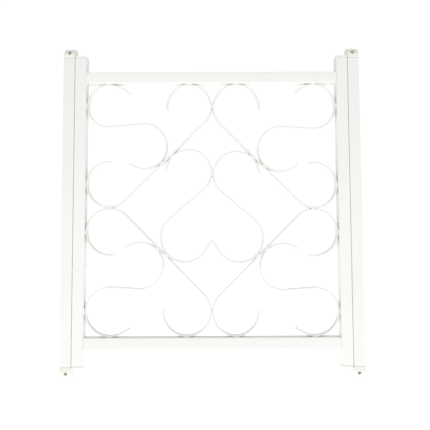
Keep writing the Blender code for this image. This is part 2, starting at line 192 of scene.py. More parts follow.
def powder_coat(name, colour, rough, peel=0.10, crevice_shade_and_dust=0.35, wear=0.38, speck=0.20):
    """White powder coat: orange peel, uneven film, thin on edges, painted shade and dust in
    corners and crevices.
    """
    m = Material(name)
    film = m.span(m.noise(scale=7.0, detail=3.0), source=(0.3, 0.7))
    thick = tuple(min(1.0, c) for c in tint(colour, 1.008, 1.008, 1.004))
    base = m.mix(film, tint(colour, 0.985, 0.985, 0.975), thick)
    specks = m.span(m.noise(scale=420.0, detail=1.0), source=(0.76, 0.80), target=(0.0, speck))
    base = m.mix(specks, base, tint(colour, 0.80, 0.79, 0.74))
    if wear:
        edges = m.edges(radius=0.5 * MM)
        patches = m.noise(scale=55.0, detail=4.0, rough=0.6)
        thin = m.math("MULTIPLY", edges, m.span(patches, source=(0.48, 0.70), target=(0.0, wear)))
        base = m.mix(thin, base, tint(colour, 0.82, 0.815, 0.80))
    # painted shade, partly dust: ambient occlusion darkens crevices and corners towards a dusty
    # grey
    crevice = m.crevice(distance=5.0 * MM)
    patches = m.noise(scale=30.0, detail=3.0)
    shade_and_dust_amount = m.span(patches, source=(0.25, 0.75), target=(crevice_shade_and_dust * 0.6, crevice_shade_and_dust))
    shade_and_dust_mask = m.math("MULTIPLY", crevice, shade_and_dust_amount)
    shade_and_dust_colour = (0.42, 0.405, 0.36)
    m.surface("Base Color", m.mix(shade_and_dust_mask, base, shade_and_dust_colour))
    satin = m.span(m.noise(scale=38.0), source=(0.3, 0.7), target=(rough - 0.05, rough + 0.07))
    shade_and_dust_rough = 0.3
    m.surface("Roughness", m.math("ADD", satin, m.math("MULTIPLY", shade_and_dust_mask, shade_and_dust_rough)))
    fine = m.noise(scale=420.0)
    coarse_weight = 0.8
    coarse = m.math("MULTIPLY", m.noise(scale=170.0, detail=1.0), coarse_weight)
    m.bump(m.math("ADD", fine, coarse), strength=peel, distance=0.08 * MM)
    m.surface("Specular IOR Level", 0.5)
    return m.mat


def moulded_plastic(name, colour, rough, crevice_shade_and_dust=0.4):
    """Moulded plastic: fine spark grain, flow marks, a little scuffing on edges."""
    m = Material(name)
    streaks = m.noise(scale=1.0, detail=3.0, rough=0.6, vector=m.scaled((60.0, 60.0, 14.0)))
    flow = m.span(streaks, source=(0.3, 0.7))
    base = m.mix(flow, tint(colour, 0.975, 0.972, 0.95), colour)
    edges = m.edges(radius=0.8 * MM)
    patches = m.noise(scale=90.0, detail=4.0, rough=0.65)
    scuff = m.math("MULTIPLY", edges, m.span(patches, source=(0.45, 0.68), target=(0.0, 0.45)))
    base = m.mix(scuff, base, tint(colour, 0.84, 0.82, 0.76))
    # painted shade, partly dust: ambient occlusion darkens crevices towards a dusty brown
    shade_and_dust_mask = m.math("MULTIPLY", m.crevice(distance=4.0 * MM), crevice_shade_and_dust)
    shade_and_dust_colour = (0.33, 0.31, 0.25)
    m.surface("Base Color", m.mix(shade_and_dust_mask, base, shade_and_dust_colour))
    m.surface("Roughness", m.span(m.noise(scale=45.0), source=(0.3, 0.7),
                                  target=(rough - 0.05, rough + 0.06)))
    fine = m.noise(scale=1900.0, detail=1.0)
    coarse_weight = 0.6
    grain = m.math("ADD", fine, m.math("MULTIPLY", m.noise(scale=700.0), coarse_weight))
    m.bump(grain, strength=0.22, distance=0.05 * MM)
    m.surface("Subsurface Weight", 0.04)
    m.bsdf.inputs["Subsurface Radius"].default_value = (1.0, 0.9, 0.7)
    m.surface("Subsurface Scale", 1.2 * MM)
    return m.mat


def zinc_plate(name, colour, rough, line_scale):
    """Bright zinc plate: mottling, and lines drawn out where line_scale is small."""
    m = Material(name)
    spots = m.span(m.noise(scale=130.0, detail=4.0, rough=0.6), source=(0.35, 0.65))
    base = m.mix(spots, tint(colour, 0.86, 0.87, 0.88), tint(colour, 1.08, 1.08, 1.08))
    lines = m.noise(scale=1.0, detail=3.0, rough=0.7, vector=m.scaled(line_scale))
    scratch = m.span(lines, source=(0.62, 0.70), target=(0.0, 0.6))
    m.surface("Base Color", m.mix(scratch, base, tint(colour, 1.25, 1.25, 1.25)))
    m.surface("Metallic", 1.0)
    m.surface("Roughness", m.span(spots, source=(0.0, 1.0), target=(rough - 0.06, rough + 0.10)))
    m.bump(lines, strength=0.18, distance=0.03 * MM)
    return m.mat


MATERIALS = {
    "frame_coat": powder_coat("frame_coat_look", COLOURS["frame_coat"], rough=0.36,
                              crevice_shade_and_dust=0.03, wear=0.25),
    # painted shade: the scroll coat is darkened to 0.94 of its colour so that the thin bars read
    # grey, as they do in shade
    "scroll_coat": powder_coat("scroll_coat_look",
                               tint(COLOURS["scroll_coat"], 0.94, 0.94, 0.94), rough=0.34,
                               peel=0.04, crevice_shade_and_dust=0.18, wear=0.0, speck=0.0),
    "side_coat": powder_coat("side_coat_look", COLOURS["side_coat"], rough=0.37,
                             crevice_shade_and_dust=0.03, wear=0.25),
    "weld_coat": powder_coat("weld_coat_look", COLOURS["scroll_coat"], rough=0.40,
                             peel=0.35, crevice_shade_and_dust=0.30),
    "arm_zinc": zinc_plate("arm_zinc_look", COLOURS["arm_zinc"], rough=0.32,
                           line_scale=(6.0, 900.0, 900.0)),
    "screw_steel": zinc_plate("screw_steel_look", COLOURS["screw_steel"], rough=0.30,
                              line_scale=(900.0, 900.0, 6.0)),
    "cap_plastic": moulded_plastic("cap_plastic_look", COLOURS["cap_plastic"], rough=0.46),
    "foot_plastic": moulded_plastic("foot_plastic_look",
                                    tint(COLOURS["foot_plastic"], 1.01, 1.01, 1.0),
                                    rough=0.48, crevice_shade_and_dust=0.3),
}


# ------------------------------------------------------------------ geometry
def mesh_from(bm, name, recalc=True):
    if recalc:
        bmesh.ops.recalc_face_normals(bm, faces=bm.faces[:])
    mesh = bpy.data.meshes.new(name)
    bm.to_mesh(mesh)
    bm.free()
    return mesh


def rounded_rect(side_u, side_v, radius, segs):
    """Rounded rectangle, counter-clockwise, 4 * (segs + 1) points."""
    half_u, half_v = side_u / 2.0 - radius, side_v / 2.0 - radius
    points = []
    for k, (su, sv) in enumerate(((1, 1), (-1, 1), (-1, -1), (1, -1))):
        for i in range(segs + 1):
            a = math.radians(90.0 * k + 90.0 * i / segs)
            points.append((su * half_u + radius * math.cos(a), sv * half_v + radius * math.sin(a)))
    return points


def square_ring(side, radius, z, segs=8):
    return [(u, v, z) for u, v in rounded_rect(side, side, radius, segs)]


def quarter_round(radius, steps):
    """Offsets (inset, rise) of a rounded edge."""
    angles = [math.radians(90.0 * i / steps) for i in range(steps + 1)]
    return [(radius * (1.0 - math.cos(a)), radius * math.sin(a)) for a in angles]


def loft(name, rings, closed=False):
    """Mesh through rings of equal count: a closed loop of rings, or capped ends."""
    bm = bmesh.new()
    rows = [[bm.verts.new(p) for p in r] for r in rings]
    count = len(rows[0])
    pairs = list(zip(rows, rows[1:])) + ([(rows[-1], rows[0])] if closed else [])
    for a, b in pairs:
        for i in range(count):
            j = (i + 1) % count
            bm.faces.new((a[i], a[j], b[j], b[i]))
    if not closed:
        bm.faces.new(rows[0][::-1])
        bm.faces.new(rows[-1])
    return mesh_from(bm, name)


def skin_rows(bm, rows):
    """Faces between rows of vertices; a row of one vertex is a pole."""
    for a, b in zip(rows, rows[1:]):
        count = max(len(a), len(b))
        for i in range(count):
            j = (i + 1) % count
            if len(a) == 1:
                bm.faces.new((a[0], b[i], b[j]))
            elif len(b) == 1:
                bm.faces.new((a[i], b[0], a[j]))
            else:
                bm.faces.new((a[i], b[i], b[j], a[j]))


def turned_mesh(name, profile, segs=48):
    """Solid of revolution about Z from (radius, z) points, both ends on the axis."""
    bm = bmesh.new()
    rows = []
    for radius, z in profile:
        if radius < 1e-9:
            rows.append([bm.verts.new((0.0, 0.0, z))])
        else:
            rows.append([bm.verts.new((radius * math.cos(2 * math.pi * i / segs),
                                       radius * math.sin(2 * math.pi * i / segs), z))
                         for i in range(segs)])
    skin_rows(bm, rows)
    return mesh_from(bm, name)


def add_object(name, mesh):
    obj = bpy.data.objects.new(name, mesh)
    bpy.context.scene.collection.objects.link(obj)
    return obj


def applied(obj):
    """Freeze the object's modifiers into its mesh."""
    bpy.context.view_layer.update()
    depsgraph = bpy.context.evaluated_depsgraph_get()
    mesh = bpy.data.meshes.new_from_object(obj.evaluated_get(depsgraph))
    obj.modifiers.clear()
    obj.data = mesh


def boolean(obj, tool, operation="DIFFERENCE"):
    """Cut or join with a tool, which is used up."""
    mod = obj.modifiers.new("boolean", "BOOLEAN")
    mod.operation = operation
    mod.solver = "EXACT"
    mod.object = tool
    applied(obj)
    bpy.data.objects.remove(tool, do_unlink=True)


def ease(obj, width, segments):
    mod = obj.modifiers.new("ease", "BEVEL")
    mod.width = width
    mod.segments = segments
    mod.limit_method = "ANGLE"
    mod.angle_limit = math.radians(30.0)
    applied(obj)


def turned_tool(profile, place, segs=48):
    tool = add_object("tool", turned_mesh("tool", profile, segs))
    tool.data.transform(place)
    return tool


def box_tool(size, location, radius):
    """Box whose edges along X are rounded."""
    bm = bmesh.new()
    bmesh.ops.create_cube(bm, size=1.0)
    bmesh.ops.scale(bm, vec=size, verts=bm.verts[:])
    edges = [e for e in bm.edges
             if abs((e.verts[0].co - e.verts[1].co).x) > 0.5 * size[0]]
    bmesh.ops.bevel(bm, geom=edges, offset=radius, segments=4, affect="EDGES", profile=0.5)
    mesh = mesh_from(bm, "tool", recalc=False)
    mesh.transform(Matrix.Translation(location))
    return add_object("tool", mesh)


def finish_piece(obj, node=None, slot=None, body=None, material=None, smooth=32.0):
    """Material picked by the slot, smooth shading and the body; the CAD node the piece stands for
    is hidden.
    """
    slot = slot or NODE_SLOT[node]
    body = body or NODE_BODY[node]
    obj.data.materials.clear()
    obj.data.materials.append(MATERIALS[material or slot])
    for poly in obj.data.polygons:
        poly.material_index = 0
        poly.use_smooth = True
    obj.data.set_sharp_from_angle(angle=math.radians(smooth))
    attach(obj, body)
    if node:
        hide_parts(node)


# --------------------------------------------------------------------- tubes
def tube_mesh(name, side, radius, z0, z1):
    """Rolled square tube with deburred ends, along Z."""
    edge = 0.35 * MM

    def outer(inset, z):
        return square_ring(side - 2.0 * inset, radius - inset, z)

    def inner(inset, z):
        return square_ring(side - 2.0 * WALL + 2.0 * inset, radius - WALL + inset, z)

    arc = quarter_round(edge, 3)
    rings = [outer(inset, z1 - edge + rise) for inset, rise in arc]
    rings += [inner(inset, z1 - edge + rise) for inset, rise in arc[::-1]]
    rings += [inner(inset, z0 + edge - rise) for inset, rise in arc]
    rings += [outer(inset, z0 + edge - rise) for inset, rise in arc[::-1]]
    return loft(name, rings, closed=True)


def tube_for(node, radius=TUBE_R, grow=(0.0, 0.0)):
    """A tube in the box of a CAD node, along its long side, grown at its low and high end."""
    name = node + "_tube"
    lo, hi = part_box(node)
    size = hi - lo
    place = Matrix.Translation((hi + lo) / 2.0)
    if size.x > size.z:
        side, length = size.z, size.x
        place = place @ Matrix.Rotation(math.pi / 2.0, 4, "Y")
    else:
        side, length = size.x, size.z
    mesh = tube_mesh(name, side, radius, -length / 2.0 - grow[0], length / 2.0 + grow[1])
    mesh.transform(place)
    return add_object(name, mesh)


def build_stile(side, sx):
    """Stile with a slot through it behind each rail end."""
    stile = tube_for(side + "_stile")
    for end, _ in ENDS:
        place = (sx * (HALF_W + TUBE / 2.0), Y_TUBE, RAIL_Z[end])
        boolean(stile, box_tool((TUBE + 4 * MM, ARM_SLOT, ARM_SLOT), place, 1.0 * MM))
    finish_piece(stile, side + "_stile")


def build_rail(end):
    """Rail that reaches the stiles, with a screw hole at each end of its back face."""
    rail = tube_for(end + "_rail", grow=(GAP, GAP))
    hole_r, reach = 2.8 * MM, 3 * MM
    profile = [(0.0, -reach), (hole_r, -reach), (hole_r, reach), (0.0, reach)]
    for side, _ in SIDES:
        lo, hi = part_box("clamp_screw_" + end + "_" + side)
        place = Matrix.Translation(((lo.x + hi.x) / 2.0, Y_TUBE_BACK, RAIL_Z[end]))
        boolean(rail, turned_tool(profile, place @ Matrix.Rotation(math.pi / 2.0, 4, "X"), 32))
    finish_piece(rail, end + "_rail")


for side, sx in SIDES:
    build_stile(side, sx)
    finish_piece(tube_for(side + "_side_rail"), side + "_side_rail")
for end, _ in ENDS:
    build_rail(end)
# telescoping arms: they reach the side rail they are welded to
for end, _, side, sx in QUARTERS:
    node = end + "_arm_" + side
    grow = (GAP, 0.0) if sx < 0 else (0.0, GAP)
    finish_piece(tube_for(node, radius=ARM_R, grow=grow), node)


# -------------------------------------------------------------- clamp screws
SHANK_R, TIP_R = 2.5 * MM, 2.0 * MM
RECESS_DEPTH, RECESS_REACH, RECESS_W = 1.7 * MM, 2.9 * MM, 1.0 * MM


def cross_recess():
    """Tapered cross cutter, pointing down from z = 0."""
    # z, share of the reach, share of the width
    stations = ((0.6 * MM, 1.25, 1.0), (-RECESS_DEPTH * 0.55, 0.72, 1.0),
                (-RECESS_DEPTH, 0.25, 0.7))
    tools = []
    for turn in (0.0, math.pi / 2.0):
        rings = [[(x * RECESS_REACH * reach, y * RECESS_W * width / 2.0, z)
                  for x, y in ((1, 1), (-1, 1), (-1, -1), (1, -1))]
                 for z, reach, width in stations]
        mesh = loft("tool", rings)
        mesh.transform(Matrix.Rotation(turn, 4, "Z"))
        tools.append(add_object("tool", mesh))
    boolean(tools[0], tools[1], "UNION")
    return tools[0]


def build_screw(end, side, turn):
    """Domed screw head on the back of the rail, its shank pointing to the front."""
    node = "clamp_screw_" + end + "_" + side
    lo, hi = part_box(node)
    head_r, head_t, tip = (hi.x - lo.x) / 2.0, hi.y - Y_TUBE_BACK, Y_TUBE_BACK - lo.y
    rim_z, seat_z = head_t * 0.30, 0.05 * MM
    profile = [(0.0, head_t)]
    profile += [(head_r * math.sin(math.radians(a)) ** 0.9,
                 head_t * (0.30 + 0.70 * math.cos(math.radians(a)) ** 0.8))
                for a in range(12, 84, 9)]
    profile += [(head_r, rim_z), (head_r, GAP * 0.6), (head_r - 0.25 * MM, seat_z),
                (SHANK_R, seat_z), (SHANK_R, -tip + 0.5 * MM), (TIP_R, -tip), (0.0, -tip)]
    screw = add_object(node + "_pan_head", turned_mesh(node, profile, 56))
    recess = cross_recess()
    recess.data.transform(Matrix.Translation((0.0, 0.0, head_t)))
    boolean(screw, recess)
    centre = ((lo.x + hi.x) / 2.0, Y_TUBE_BACK, (lo.z + hi.z) / 2.0)
    screw.data.transform(Matrix.Translation(centre) @ Matrix.Rotation(-math.pi / 2.0, 4, "X")
                         @ Matrix.Rotation(turn, 4, "Z"))
    finish_piece(screw, node)


for end, sz, side, sx in QUARTERS:
    # each recess rests at its own angle, in radians
    build_screw(end, side, turn=0.35 + 0.8 * (sx > 0) + 1.7 * (sz > 0))


# ------------------------------------------------------------ stile end caps
def build_cap(end, sz, side, sx):
    """Cap with a ribbed plug; its mesh is built with the head up, from the tube end."""
    node = "stile_cap_" + end + "_" + side
    lo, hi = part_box(node)
    z_end = STILE_HI.z if sz > 0 else STILE_LO.z
    head = (hi.z - z_end) if sz > 0 else (z_end - lo.z)    # gap and head
    plug = (z_end - lo.z) if sz > 0 else (hi.z - z_end)

    def plug_ring(z, out=0.0):
        return square_ring(PLUG_SIDE + 2.0 * out, PLUG_R + out, z)

    def head_ring(z, inset):
        return square_ring(TUBE - 2.0 * inset, TUBE_R - min(inset, 1.4 * MM), z)

    rings = [plug_ring(-plug, -0.8 * MM), plug_ring(-plug + 1.2 * MM)]
    for k in range(3):                                     # gripping ribs
        z = -plug + (3.2 + 3.2 * k) * MM
        rings += [plug_ring(z - 0.5 * MM), plug_ring(z, 0.22 * MM), plug_ring(z + 0.9 * MM)]
    rings += [plug_ring(GAP)]
    under_r, shoulder_r = 0.35 * MM, 0.9 * MM
    rings += [head_ring(GAP + under_r - rise, inset)
              for inset, rise in quarter_round(under_r, 3)[::-1]]
    rings += [head_ring(head - 1.2 * MM + rise, inset)
              for inset, rise in quarter_round(shoulder_r, 5)]
    rings += [head_ring(head - 0.12 * MM, 3.5 * MM), head_ring(head, 7.5 * MM)]
    mesh = loft(node, rings)
    place = Matrix.Translation((sx * (HALF_W + TUBE / 2.0), Y_TUBE, z_end))
    mesh.transform(place if sz > 0 else place @ Matrix.Rotation(math.pi, 4, "X"))
    finish_piece(add_object(node + "_moulding", mesh), node)


for quarter in QUARTERS:
    build_cap(*quarter)

# ------------------------------------------------------------- mounting feet
FOOT_STEP = 11.5 * MM      # distance from the tube end to where the front slope starts
FOOT_SLOPE = 14.0 * MM     # how far back the slope runs
FOOT_HOLE_Z = 15.6 * MM    # distance from the tube end to the hole
FOOT_HOLE_R = 3.8 * MM


def foot_prism(name, width, depth, tall):
    """Prism along X; the tube end is at z = 0 and the front at y = 0."""
    outline = [(GAP, 0.0), (FOOT_STEP, 0.0), (tall, FOOT_SLOPE), (tall, depth), (GAP, depth)]
    bm = bmesh.new()
    left = [bm.verts.new((-width / 2.0, y, z)) for z, y in outline]
    right = [bm.verts.new((width / 2.0, y, z)) for z, y in outline]
    for i in range(len(outline)):
        j = (i + 1) % len(outline)
        bm.faces.new((left[i], left[j], right[j], right[i]))
    bm.faces.new(left)
    bm.faces.new(right[::-1])
    return mesh_from(bm, name)


def build_foot(end, sz, side):
    """Sloped foot with a plug in the side rail and a hole through it along Y."""
    node = "mounting_foot_" + end + "_" + side
    lo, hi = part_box(node)
    rail_lo, rail_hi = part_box(side + "_side_rail")
    z_end = rail_hi.z if sz > 0 else rail_lo.z
    tall = (hi.z - z_end) if sz > 0 else (z_end - lo.z)
    plug = (z_end - lo.z) if sz > 0 else (hi.z - z_end)
    depth = hi.y - lo.y
    foot = add_object(node + "_moulding", foot_prism(node, hi.x - lo.x, depth, tall))
    ease(foot, 1.1 * MM, 5)

    stations = ((-plug, PLUG_SIDE - 1.6 * MM), (-plug + 1.5 * MM, PLUG_SIDE),
                (3.0 * MM, PLUG_SIDE))
    core = add_object("tool", loft("tool", [square_ring(plug_side, PLUG_R, z, 6)
                                            for z, plug_side in stations]))
    core.data.transform(Matrix.Translation((0.0, TUBE / 2.0, 0.0)))
    boolean(foot, core, "UNION")

    # hole that widens at the back, then a conical mouth on the slope
    backwards = Matrix.Rotation(-math.pi / 2.0, 4, "X")
    hole = [(0.0, -6 * MM), (FOOT_HOLE_R, -6 * MM), (FOOT_HOLE_R, depth - 0.6 * MM),
            (FOOT_HOLE_R + 1.2 * MM, depth + 0.6 * MM), (0.0, depth + 0.6 * MM)]
    boolean(foot, turned_tool(hole, Matrix.Translation((0.0, 0.0, FOOT_HOLE_Z)) @ backwards))
    mouth_y = FOOT_SLOPE * (FOOT_HOLE_Z - FOOT_STEP) / (tall - FOOT_STEP)
    mouth = [(0.0, -4 * MM), (FOOT_HOLE_R + 3.2 * MM, -4 * MM),
             (FOOT_HOLE_R - 0.3 * MM, 1.2 * MM), (0.0, 1.2 * MM)]
    boolean(foot, turned_tool(mouth,
                              Matrix.Translation((0.0, mouth_y, FOOT_HOLE_Z)) @ backwards))

    place = Matrix.Translation(((lo.x + hi.x) / 2.0, lo.y, z_end))
    if sz < 0:
        place = place @ Matrix.Scale(-1.0, 4, (0.0, 0.0, 1.0))
    foot.data.transform(place)
    if sz < 0:
        foot.data.flip_normals()
    finish_piece(foot, node)


for end, sz, side, _ in QUARTERS:
    build_foot(end, sz, side)

# ------------------------------------------------------------------- scrolls
# Centre lines lie in (x, z), with z from the middle of the frame.  A loop's angle,
# in degrees, is where the bar's free end lies; sense is +1 for counter-clockwise
# seen from the front.
Loop = namedtuple("Loop", "x z radius sense angle")
# an easier bend beyond a loop: radius, and sweep in degrees
Bend = namedtuple("Bend", "radius sweep")
PATHS = {}


def resampled(points, steps=240):
    """Points at even steps along a line."""
    travel = [0.0]
    for a, b in zip(points, points[1:]):
        travel.append(travel[-1] + math.dist(a, b))
    out, k = [], 0
    for i in range(steps + 1):
        want = travel[-1] * i / steps
        while k < len(travel) - 2 and travel[k + 1] < want:
            k += 1
        f = (want - travel[k]) / max(travel[k + 1] - travel[k], 1e-12)
        f = max(0.0, min(1.0, f))
        (x0, z0), (x1, z1) = points[k], points[k + 1]
        out.append((x0 + (x1 - x0) * f, z0 + (z1 - z0) * f))
    return out


def scroll_path(first, last, lead=None, tail=None):
    """Centre line through two loops and a straight run; also the ends of that run."""
    dx, dz = last.x - first.x, last.z - first.z
    turn = (last.sense * last.radius - first.sense * first.radius) / math.hypot(dx, dz)
    heading = math.atan2(dz, dx) - math.asin(max(-1.0, min(1.0, turn)))
    normal_x, normal_z = -math.sin(heading), math.cos(heading)

    def leave(loop):
        """Point and angle where the straight run touches a loop."""
        x = loop.x - loop.sense * loop.radius * normal_x
        z = loop.z - loop.sense * loop.radius * normal_z
        return (x, z), math.atan2(z - loop.z, x - loop.x)

    def arc(x, z, radius, sense, begin, sweep, steps=240):
        angles = [begin + sense * sweep * i / steps for i in range(steps + 1)]
        return [(x + radius * math.cos(a), z + radius * math.sin(a)) for a in angles]

    def bend_centre(loop, radius, angle):
        """Centre of a bend that carries on smoothly from a loop."""
        return (loop.x + (loop.radius - radius) * math.cos(angle),
                loop.z + (loop.radius - radius) * math.sin(angle))

    run_a, angle_a = leave(first)
    run_b, angle_b = leave(last)
    start, stop = math.radians(first.angle), math.radians(last.angle)
    sweep_a = ((angle_a - start) * first.sense) % (2.0 * math.pi)
    sweep_b = ((stop - angle_b) * last.sense) % (2.0 * math.pi)

    points = arc(first.x, first.z, first.radius, first.sense, start, sweep_a)
    if lead:
        sweep = math.radians(lead.sweep)
        points = arc(*bend_centre(first, lead.radius, start), lead.radius, first.sense,
                     start - first.sense * sweep, sweep)[:-1] + points
    points += [(run_a[0] + (run_b[0] - run_a[0]) * i / 200.0,
                run_a[1] + (run_b[1] - run_a[1]) * i / 200.0) for i in range(1, 200)]
    points += arc(last.x, last.z, last.radius, last.sense, angle_b, sweep_b)
    if tail:
        points += arc(*bend_centre(last, tail.radius, stop), tail.radius, last.sense,
                      stop, math.radians(tail.sweep))[1:]
    return resampled(points), (run_a, run_b)


def tangents(path):
    out = []
    for i in range(len(path)):
        a, b = path[max(0, i - 1)], path[min(len(path) - 1, i + 1)]
        d = math.dist(a, b)
        out.append(((b[0] - a[0]) / d, (b[1] - a[1]) / d))
    return out


def scroll(name, first, last, lead=None, tail=None):
    """Flat bar with eased edges and dressed ends; returns the ends of its straight run."""
    path, run = scroll_path(first, last, lead, tail)
    PATHS[name] = path
    tans = tangents(path)

    def section(i, inset=0.0, shift=0.0):
        """Cross-section at a path point, shifted along the bar."""
        (x, z), (tx, tz) = path[i], tans[i]
        outline = rounded_rect(BAR_W - 2.0 * inset, BAR_T - 2.0 * inset,
                               0.9 * MM - inset * 0.6, 4)
        return [(x - tz * off + tx * shift, Y_TUBE + depth, FRAME_Z + z + tx * off + tz * shift)
                for depth, off in outline]

    edge = 0.45 * MM
    arc = quarter_round(edge, 3)
    end = len(path) - 1
    rings = [section(0, inset, edge - rise) for inset, rise in arc[::-1]]
    rings += [section(i) for i in range(1, end)]
    rings += [section(end, inset, -edge + rise) for inset, rise in arc]
    finish_piece(add_object(name + "_bar", loft(name, rings)), name, smooth=40.0)
    return run


TOUCH_FRAME = BAR_T / 2.0 + GAP
TOUCH_BAR = BAR_T / 2.0 + GAP / 2.0
MID_X = {"top": 1.5 * MM, "bottom": -1.0 * MM}    # where left and right scrolls meet
MID_Z = {"left": 2.0 * MM, "right": -1.0 * MM}    # where upper and lower scrolls meet


def by_side(sx, radius):
    return sx * (HALF_W - TOUCH_FRAME - radius)


def by_rail(sz, radius):
    return sz * (HALF_H - TOUCH_FRAME - radius)


def by_middle(end, sx, radius):
    return MID_X[end] + sx * (TOUCH_BAR + radius)


def by_twin(side, sz, radius):
    return MID_Z[side] + sz * (TOUCH_BAR + radius)


def clear_of_run(run, x, distance, direction):
    """Height at x that lies a distance above (+1) or below (-1) a straight run."""
    (x0, z0), (x1, z1) = run
    dx, dz = x1 - x0, z1 - z0
    return z0 + (x - x0) * dz / dx + direction * distance * math.hypot(dx, dz) / abs(dx)


# middle loop radius, side loop radius (mm), first and last angle
DIAGONALS = {
    ("top", "left"): (49.5, 50.3, 190.0, 88.0),
    ("top", "right"): (51.5, 49.9, -8.0, 104.0),
    ("bottom", "left"): (52.3, 51.0, 178.0, -76.5),
    ("bottom", "right"): (50.3, 51.0, 2.0, -104.5),
}
# corner loop: radius (mm), angle, lead bend
# inner loop: radius, distance from x = 0, extra room from the diagonal (mm), angle
CORNERS = {
    ("top", "left"): (47.4, 80.0, Bend(82.0 * MM, 33.0), 50.4, 150.2, 2.0, -130.5),
    ("top", "right"): (50.0, 144.0, None, 50.6, 154.2, 0.4, -42.0),
    ("bottom", "left"): (52.9, -65.0, Bend(200.0 * MM, 6.7), 50.8, 158.2, 0.0, 129.0),
    ("bottom", "right"): (51.8, -115.0, Bend(200.0 * MM, 6.7), 50.8, 156.9, 0.0, 50.0),
}
# upper loop: radius (mm), angle; lower loop: radius, x, z (mm), angle, sweep of the tail
HEARTS = {
    "left": (50.6, 160.0, 53.6, -59.8, -64.6, -36.0, 11.2),
    "right": (51.0, 20.0, 52.6, 60.9, -66.8, -143.0, 12.0),
}

RUNS = {}
for end, sz, side, sx in QUARTERS:
    r1, r2, start, stop = DIAGONALS[end, side]
    r1, r2 = r1 * MM, r2 * MM
    RUNS[end, side] = scroll(
        "diagonal_scroll_" + end + "_" + side,
        Loop(by_middle(end, sx, r1), by_rail(sz, r1), r1, sx * sz, start),
        Loop(by_side(sx, r2), by_twin(side, sz, r2), r2, sx * sz, stop))

for end, sz, side, sx in QUARTERS:
    r1, start, lead, r2, x2, room, stop = CORNERS[end, side]
    r1, r2, x2 = r1 * MM, r2 * MM, sx * x2 * MM
    z2 = clear_of_run(RUNS[end, side], x2, r2 + BAR_T + GAP + room * MM, sz)
    scroll("corner_scroll_" + end + "_" + side,
           Loop(by_side(sx, r1), by_rail(sz, r1), r1, -sx * sz, start),
           Loop(x2, z2, r2, sx * sz, stop), lead=lead)

for side, sx in SIDES:
    r1, start, r2, x2, z2, stop, tail_sweep = HEARTS[side]
    r1, r2 = r1 * MM, r2 * MM
    x1 = by_middle("top", sx, r1)
    z1 = clear_of_run(RUNS["top", side], x1, r1 + BAR_T + GAP, -1.0)
    scroll("heart_scroll_" + side,
           Loop(x1, z1, r1, sx, start), Loop(x2 * MM, z2 * MM, r2, -sx, stop),
           lead=Bend(75.0 * MM, 12.0), tail=Bend(150.0 * MM, tail_sweep))

# --------------------------------------------------------------------- welds
BAR_FRONT, BAR_BACK = Y_TUBE - BAR_W / 2.0, Y_TUBE + BAR_W / 2.0
BEAD_STEP = 0.45 * MM
BEAD_FLAT = 0.8          # height of a bead over its width
BEAD_SEGS = 12
# one run of weld
Run = namedtuple("Run", "centre along up length radius")


def bead(bm, run, seed):
    """One run of weld: rippled, swollen in the middle, drawn out at its ends."""
    centre, along, up = Vector(run.centre), Vector(run.along).normalized(), \
        Vector(run.up).normalized()
    across = along.cross(up).normalized()
    steps = max(14, int(run.length / BEAD_STEP))
    rows = []
    for i in range(steps + 1):
        t = 2.0 * i / steps - 1.0
        mid = centre + along * (t * run.length / 2.0)
        if i in (0, steps):
            rows.append([bm.verts.new(mid)])
            continue
        r = run.radius * max(0.0, 1.0 - abs(t) ** 3.2) ** 0.5
        r *= (1.0 + 0.07 * math.sin(i * 1.9 + seed)
              + 0.10 * noise.noise(Vector((i * 0.35, seed * 3.1, 0.0))))
        row = []
        for k in range(BEAD_SEGS):
            a = 2.0 * math.pi * k / BEAD_SEGS
            # the raised side of each ripple leans along the run
            lean = along * (0.12 * run.radius * math.sin(a))
            row.append(bm.verts.new(mid + across * (r * math.cos(a))
                                    + up * (r * BEAD_FLAT * math.sin(a)) + lean))
        rows.append(row)
    skin_rows(bm, rows)


def weld_object(name, runs, slot="scroll_coat"):
    bm = bmesh.new()
    for i, run in enumerate(runs):
        bead(bm, run, seed=i * 1.37 + len(name))
    finish_piece(add_object(name, mesh_from(bm, name)), slot=slot, body="guard_frame",
                 material="weld_coat", smooth=60.0)


def contact_runs(x, z, tx, tz, length, gap=GAP):
    """Beads in the crevice at a contact: a longer one behind, a short one in front."""
    r = 0.95 * MM + gap * 0.45
    along = (tx, 0.0, tz)
    return [Run((x, BAR_BACK - 0.1 * MM, z), along, (0.0, 1.0, 0.0), length * 1.25, r * 1.25),
            Run((x, BAR_FRONT + 0.75 * MM, z), along, (0.0, -1.0, 0.0), length, r)]


def weld_bars_to_tube(tube, axis, sign, limit):
    """Welds where a scroll's outermost point on an axis (0 = x, 1 = z) meets a tube."""
    runs = []
    for path in PATHS.values():
        best = max(range(len(path)), key=lambda i: sign * path[i][axis])
        gap = limit - sign * path[best][axis]
        if gap < BAR_T / 2.0 + 0.9 * MM and 3 < best < len(path) - 4:
            x, z = path[best]
            seam = sign * (limit - 0.25 * MM)
            if axis == 0:
                runs += contact_runs(seam, FRAME_Z + z, 0.0, 1.0, length=13.0 * MM)
            else:
                runs += contact_runs(x, FRAME_Z + seam, 1.0, 0.0, length=13.0 * MM)
    weld_object("welds_scrolls_to_" + tube, runs)


def near_stretches(path_a, path_b):
    """Stretches where two centre lines pass close, as lists of (distance, index, index)."""
    groups = []
    for m in range(len(path_a)):
        d, k = min((math.dist(path_a[m], path_b[k]), k) for k in range(0, len(path_b), 2))
        if d < BAR_T + 4.2 * MM:
            if not groups or m - groups[-1][-1][1] > 3:
                groups.append([])
            groups[-1].append((d, m, k))
    return groups


